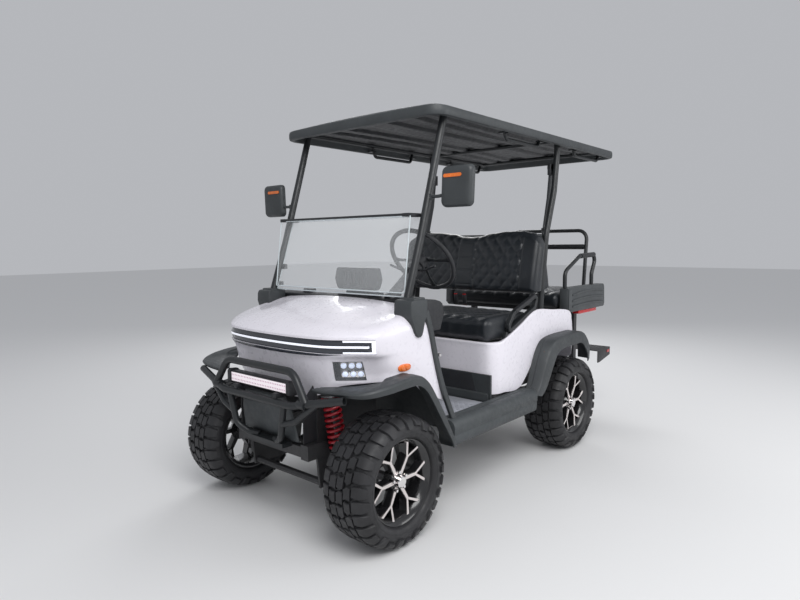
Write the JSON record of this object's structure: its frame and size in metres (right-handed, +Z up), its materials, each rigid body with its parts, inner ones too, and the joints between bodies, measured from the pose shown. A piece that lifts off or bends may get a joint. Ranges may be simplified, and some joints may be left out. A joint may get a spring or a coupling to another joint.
{
  "type": "golf cart",
  "caption": "Lifted electric golf cart with a forward and a rear-facing bench, steered front wheels, folding windscreen, canopy, bull bar and rear foot step",
  "frame": {"origin": "on the floor under the middle of the overall length and width", "axes": "+Z up, -Y is the driving direction, +X is the cart's left, the driver's side"},
  "size_m": [1.52, 2.9945, 2.017],
  "materials": {
    "white_body": "glossy moulded body panel",
    "black_trim": "satin charcoal moulding",
    "dark_rocker": "dark grey grained moulding",
    "black_tube": "black powder coat",
    "frame_steel": "black chassis paint",
    "red_spring": "red coil-over springs, dark arms",
    "cast_steel": "cast knuckle",
    "rim_black": "machined spoke faces over black",
    "tyre_rubber": "all-terrain tread",
    "black_seat": "black quilted seat cover",
    "clear_pane": "clear windscreen",
    "lamp_clear": "lamp lenses",
    "band_black": "dark lamp band",
    "lamp_red": "red lenses",
    "dash_black": "grained dash",
    "floor_mat": "tread-pattern floor mat",
    "grey_cover": "dark grey side covers",
    "battery_case": "battery case",
    "motor_metal": "motor housing"
  },
  "bodies": {
    "chassis": {"armrests": "black_tube", "battery_pack": "battery_case", "bull_bar": "black_tube", "canopy_frame": "black_tube", "chassis_frame": "frame_steel", "dashboard": "dash_black", "drive_motor": "motor_metal", "floor_pan": "floor_mat", "front_backrest": "black_seat", "front_cowl": "white_body", "front_flares": "black_trim", "front_subframe": "frame_steel", "front_suspension": "red_spring", "grab_rail": "black_tube", "headlamps": "lamp_clear", "leaf_springs": "frame_steel", "light_band": "band_black", "light_bar": "lamp_clear", "mirrors": "black_trim", "pedals": "frame_steel", "pillar_feet": "black_trim", "rear_axle": "frame_steel", "rear_backrest": "black_seat", "rear_cushion": "black_seat", "rear_flares": "black_trim", "rear_side_covers": "grey_cover", "rear_step": "black_tube", "rockers": "dark_rocker", "roof": "black_trim", "seat_back_shell": "dash_black", "seat_pod": "white_body", "steering_column": "black_tube", "tail_lamps": "lamp_red", "windshield": "clear_pane"},
    "knuckle_left": {"knuckle_left": "cast_steel"},
    "knuckle_right": {"knuckle_right": "cast_steel"},
    "tie_rod": {"tie_rod": "cast_steel"},
    "steering_wheel": {"steering_wheel": "black_trim"},
    "front_seat_base": {"front_cushion": "black_seat"},
    "wheel_front_left": {"tyre_front_left": "tyre_rubber", "rim_front_left": "rim_black"},
    "wheel_front_right": {"tyre_front_right": "tyre_rubber", "rim_front_right": "rim_black"},
    "wheel_rear_left": {"tyre_rear_left": "tyre_rubber", "rim_rear_left": "rim_black"},
    "wheel_rear_right": {"tyre_rear_right": "tyre_rubber", "rim_rear_right": "rim_black"}
  },
  "joints": [
    {"name": "steer_left", "type": "hinge", "parent": "chassis", "child": "knuckle_left", "pos_m": [0.47, -1.1825, 0.292], "axis": [0, 0, 1], "range_deg": [-25, 25]},
    {"name": "steer_right", "type": "hinge", "parent": "chassis", "child": "knuckle_right", "pos_m": [-0.47, -1.1825, 0.292], "axis": [0, 0, 1], "range_deg": [-25, 25]},
    {"name": "rack_slide", "type": "slide", "parent": "chassis", "child": "tie_rod", "axis": [1, 0, 0], "range_m": [-0.045, 0.045]},
    {"name": "column_turn", "type": "hinge", "parent": "chassis", "child": "steering_wheel", "pos_m": [0.3, -0.6225, 1.24], "axis": [0, 0.809, 0.5878], "range_deg": [-310, 310]},
    {"name": "front_left_wheel_spin", "type": "hinge", "parent": "knuckle_left", "child": "wheel_front_left", "pos_m": [0.542, -1.1825, 0.292], "axis": [1, 0, 0], "continuous": true},
    {"name": "front_right_wheel_spin", "type": "hinge", "parent": "knuckle_right", "child": "wheel_front_right", "pos_m": [-0.542, -1.1825, 0.292], "axis": [1, 0, 0], "continuous": true},
    {"name": "rear_left_wheel_spin", "type": "hinge", "parent": "chassis", "child": "wheel_rear_left", "pos_m": [0.542, 0.5175, 0.292], "axis": [1, 0, 0], "continuous": true},
    {"name": "rear_right_wheel_spin", "type": "hinge", "parent": "chassis", "child": "wheel_rear_right", "pos_m": [-0.542, 0.5175, 0.292], "axis": [1, 0, 0], "continuous": true},
    {"name": "seat_base_lift", "type": "hinge", "parent": "chassis", "child": "front_seat_base", "pos_m": [0, 0.1455, 0.7783], "axis": [-1, 0, 0], "range_deg": [0, 40]}
  ],
  "couplings": [
    {"joint": "steer_right", "follows": "steer_left", "ratio": 1},
    {"joint": "rack_slide", "follows": "steer_left", "m_per_rad": -0.1},
    {"joint": "column_turn", "follows": "steer_left", "ratio": 12}
  ]
}
